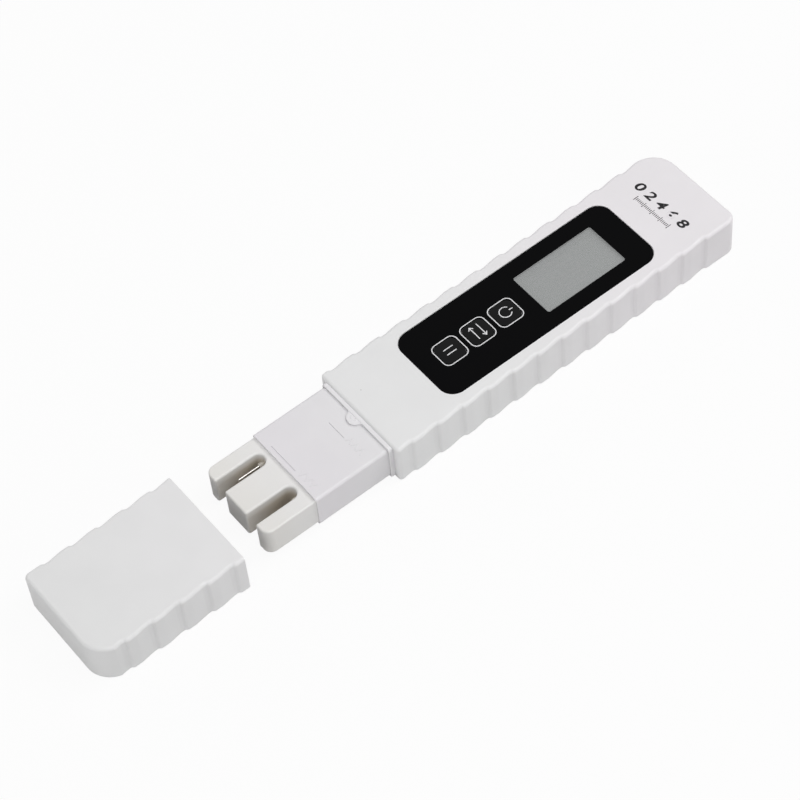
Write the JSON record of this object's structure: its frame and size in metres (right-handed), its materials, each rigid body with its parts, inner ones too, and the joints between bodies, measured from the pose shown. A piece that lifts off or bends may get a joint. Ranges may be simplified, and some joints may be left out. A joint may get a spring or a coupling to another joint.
{
  "type": "water quality tester",
  "caption": "Pen-type meter for dissolved solids in water: scalloped case with display and keys, slotted probe tip with electrode pins, and a pull-off cap.",
  "frame": {"origin": "on the plane of the flat back, in the middle of the case's open end, where the neck leaves it", "axes": "+X across the case to the right as the display is read, +Y along the case away from the probe, +Z out of the display"},
  "size_m": [0.03, 0.1923, 0.0127],
  "materials": {
    "shell_white": "satin moulded, light grey-white",
    "cap_white": "satin moulded, slightly greyer white",
    "neck_white": "satin moulded white",
    "tip_white": "satin moulded, warm white",
    "film_black": "glossy printed film",
    "key_black": "glossy film over a dome",
    "pane_clear": "clear polished",
    "display_grey": "dark grey-green display glass",
    "inner_black": "matt black moulding",
    "connector_rubber": "matt grey",
    "plunger_white": "satin moulded",
    "board_green": "solder mask over glass fibre",
    "chip_black": "matt moulded",
    "pin_metal": "bright drawn pin",
    "sleeve_beige": "tan sleeve",
    "contact_steel": "plated spring steel",
    "cell_steel": "plated steel can",
    "wire_red": "insulated wire",
    "wire_black": "insulated wire",
    "bead_dark": "epoxy bead"
  },
  "bodies": {
    "meter": {"battery_contact_minus": "contact_steel", "battery_contact_plus": "contact_steel", "battery_holder": "inner_black", "body_shell": "shell_white", "button_cells": "cell_steel", "chip_resistors": "chip_black", "circuit_board": "board_green", "crystal": "contact_steel", "display_label": "film_black", "display_window": "pane_clear", "electrode_ferrule_left": "sleeve_beige", "electrode_ferrule_right": "sleeve_beige", "electrode_lead_left": "wire_red", "electrode_lead_right": "wire_black", "electrode_pin_left": "pin_metal", "electrode_pin_right": "pin_metal", "hold_switch": "inner_black", "lcd_frame": "inner_black", "lcd_glass": "display_grey", "meter_chip": "chip_black", "power_switch": "inner_black", "probe_housing": "neck_white", "probe_tip": "tip_white", "seal_collar": "neck_white", "shift_switch": "inner_black", "thermistor_bead": "bead_dark", "thermistor_leads": "wire_black", "zebra_strip": "connector_rubber"},
    "cap": {"cap": "cap_white"},
    "battery_door": {"battery_door": "shell_white", "door_contact": "contact_steel"},
    "hold_button": {"hold_key": "key_black", "hold_plunger": "plunger_white"},
    "shift_button": {"shift_key": "key_black", "shift_plunger": "plunger_white"},
    "power_button": {"power_key": "key_black", "power_plunger": "plunger_white"}
  },
  "joints": [
    {"name": "cap_slide", "type": "slide", "parent": "meter", "child": "cap", "axis": [0, 1, 0], "range_m": [0, 0.0444]},
    {"name": "door_slide", "type": "slide", "parent": "meter", "child": "battery_door", "axis": [0, 1, 0], "range_m": [0, 0.024]},
    {"name": "hold_press", "type": "slide", "parent": "meter", "child": "hold_button", "axis": [0, 0, -1], "range_m": [0, 0.0003], "stiffness_N_per_m": 300},
    {"name": "shift_press", "type": "slide", "parent": "meter", "child": "shift_button", "axis": [0, 0, -1], "range_m": [0, 0.0003], "stiffness_N_per_m": 300},
    {"name": "power_press", "type": "slide", "parent": "meter", "child": "power_button", "axis": [0, 0, -1], "range_m": [0, 0.0003], "stiffness_N_per_m": 300}
  ]
}
